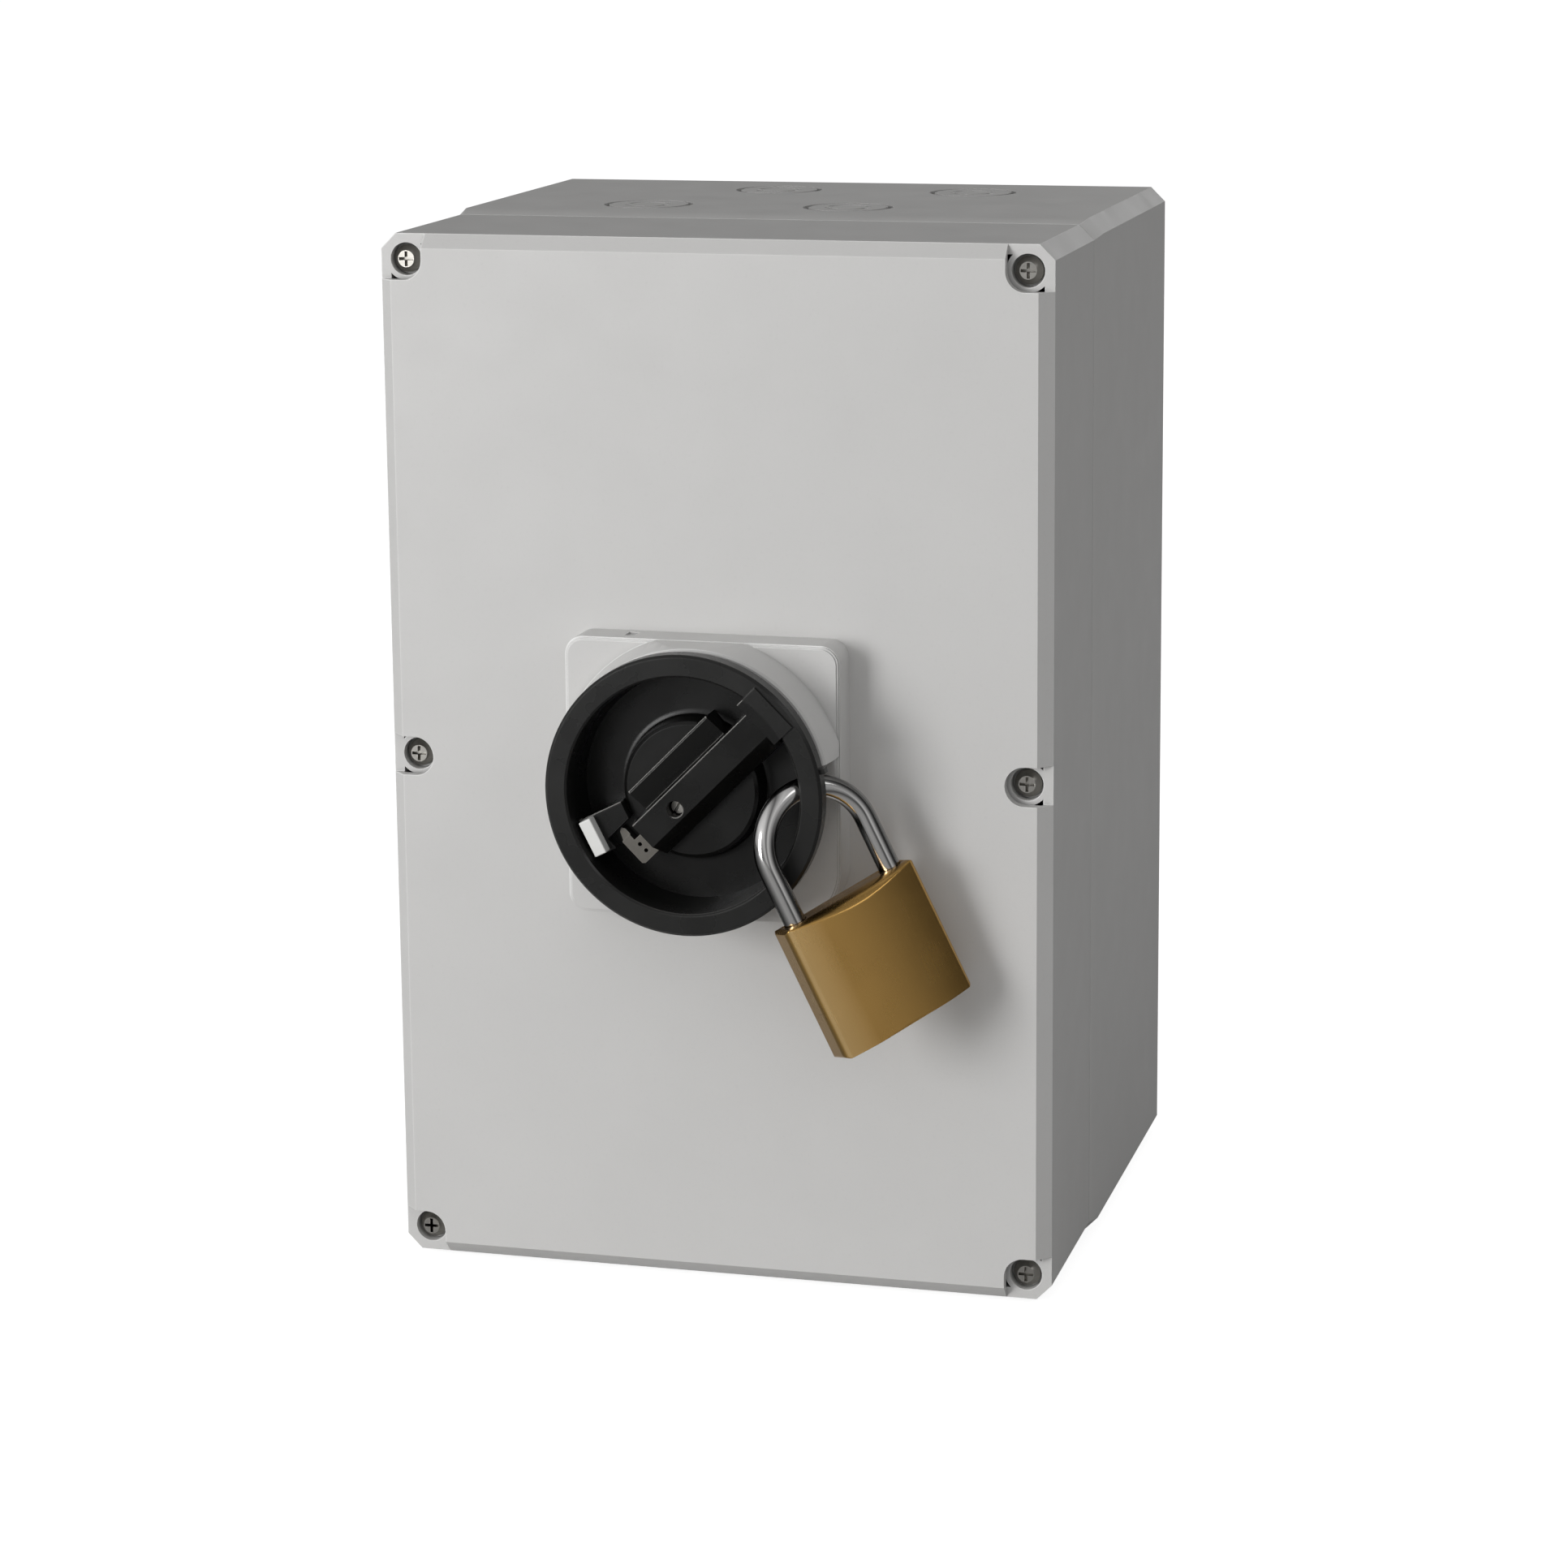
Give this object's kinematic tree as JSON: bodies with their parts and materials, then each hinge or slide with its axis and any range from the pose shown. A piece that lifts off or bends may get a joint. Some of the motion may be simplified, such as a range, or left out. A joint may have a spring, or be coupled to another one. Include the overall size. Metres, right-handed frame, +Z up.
{
  "type": "fused disconnect switch",
  "caption": "Wall-mounted plastic enclosure with a padlocked rotary handle, stacked rotary switch and pull-out fuse carriers inside.",
  "frame": {"origin": "centre of the four wall holes, on the wall plane at the back of the case", "axes": "+Z up, +Y into the wall, so the lid faces -Y; +X to the right as seen from the front"},
  "size_m": [0.2024, 0.2204, 0.3124],
  "materials": {
    "case_plastic": "fine-textured light grey moulding",
    "black_plastic": "fine-textured black moulding",
    "white_plastic": "smooth white insert",
    "zinc": "die-cast zinc, satin",
    "screw_steel": "zinc-plated steel",
    "plate_steel": "galvanised sheet and bar",
    "gasket_rubber": "matt",
    "shackle_steel": "polished",
    "padlock_brass": "satin, brushed along the body",
    "plug_brass": "machined",
    "switch_plastic": "dark grey moulding",
    "copper": "copper, satin",
    "rotor_plastic": "ivory moulding",
    "fuse_plastic": "black moulding",
    "fuse_ceramic": "glazed ceramic barrel with plated caps",
    "terminal_brass": "machined",
    "wire_insulation": "smooth"
  },
  "bodies": {
    "root": {"enclosure_base": "case_plastic", "mounting_plate": "plate_steel", "mounting_plate_screws": "screw_steel", "switch_base": "switch_plastic", "switch_deck_1": "switch_plastic", "switch_deck_2": "switch_plastic", "switch_deck_3": "switch_plastic", "drive_housing": "switch_plastic", "tie_screws": "screw_steel", "line_contact_1": "copper", "line_contact_2": "copper", "line_contact_3": "copper", "load_contact_1": "copper", "load_contact_2": "copper", "load_contact_3": "copper", "switch_terminal_screws": "screw_steel", "detent_springs": "plate_steel", "fuse_base_1": "fuse_plastic", "fuse_base_2": "fuse_plastic", "fuse_base_3": "fuse_plastic", "fuse_jaws": "copper", "fuse_terminal_screws": "screw_steel", "earth_terminal": "terminal_brass", "neutral_terminal": "terminal_brass", "link_wires": "wire_insulation"},
    "lid_assembly": {"lid": "case_plastic", "lid_gasket": "gasket_rubber", "lid_screws": "screw_steel", "escutcheon": "case_plastic", "escutcheon_seal": "gasket_rubber", "escutcheon_screws": "screw_steel"},
    "handle": {"handle_knob": "black_plastic", "position_marker": "white_plastic", "shaft_socket": "black_plastic", "retaining_ring": "plate_steel"},
    "slide_lock": {"lock_slide": "zinc"},
    "interlock_screw": {"defeat_screw": "screw_steel"},
    "rotor": {"spindle": "plate_steel", "rotor_hub_1": "rotor_plastic", "rotor_hub_2": "rotor_plastic", "rotor_hub_3": "rotor_plastic", "moving_blade_1": "copper", "moving_blade_2": "copper", "moving_blade_3": "copper", "detent_cam": "rotor_plastic", "extension_shaft": "plate_steel"},
    "carrier_1": {"fuse_carrier_1": "fuse_plastic", "carrier_blades_1": "copper", "fuse_link_1": "fuse_ceramic"},
    "carrier_2": {"fuse_carrier_2": "fuse_plastic", "carrier_blades_2": "copper", "fuse_link_2": "fuse_ceramic"},
    "carrier_3": {"fuse_carrier_3": "fuse_plastic", "carrier_blades_3": "copper", "fuse_link_3": "fuse_ceramic"},
    "shackle": {"padlock_shackle": "shackle_steel"},
    "padlock": {"padlock_body": "padlock_brass"},
    "key_plug": {"padlock_key_plug": "plug_brass"}
  },
  "joints": [
    {"name": "lid_lift_off", "type": "slide", "parent": "root", "child": "lid_assembly", "axis": [0, -1, 0], "range_m": [0, 0.12]},
    {"name": "handle_turn", "type": "hinge", "parent": "lid_assembly", "child": "handle", "pos_m": [0, -0.2, 0], "axis": [0, 1, 0], "range_deg": [0, 90]},
    {"name": "lock_slide_in", "type": "slide", "parent": "handle", "child": "slide_lock", "axis": [0.7071, 0, 0.7071], "range_m": [0, 0.004]},
    {"name": "defeat_screw_turn", "type": "hinge", "parent": "handle", "child": "interlock_screw", "pos_m": [-0.0025, -0.205, -0.004], "axis": [0, 1, 0], "range_deg": [0, 90]},
    {"name": "rotor_turn", "type": "hinge", "parent": "root", "child": "rotor", "pos_m": [0, -0.05, 0], "axis": [0, 1, 0], "range_deg": [0, 90]},
    {"name": "carrier_1_pull", "type": "slide", "parent": "root", "child": "carrier_1", "axis": [0, -1, 0], "range_m": [0, 0.035]},
    {"name": "carrier_2_pull", "type": "slide", "parent": "root", "child": "carrier_2", "axis": [0, -1, 0], "range_m": [0, 0.035]},
    {"name": "carrier_3_pull", "type": "slide", "parent": "root", "child": "carrier_3", "axis": [0, -1, 0], "range_m": [0, 0.035]},
    {"name": "padlock_swing", "type": "hinge", "parent": "handle", "child": "shackle", "pos_m": [0.0317, -0.205, 0.0021], "axis": [-0.661, -0.661, -0.3551], "range_deg": [0, 22]},
    {"name": "padlock_open", "type": "slide", "parent": "shackle", "child": "padlock", "axis": [0.4147, 0.0726, -0.9071], "range_m": [0, 0.012]},
    {"name": "key_turn", "type": "hinge", "parent": "padlock", "child": "key_plug", "pos_m": [0.06226, -0.19965, -0.06475], "axis": [0.4147, 0.0726, -0.9071], "range_deg": [0, 90]}
  ],
  "couplings": [
    {"joint": "rotor_turn", "follows": "handle_turn", "ratio": 1}
  ]
}
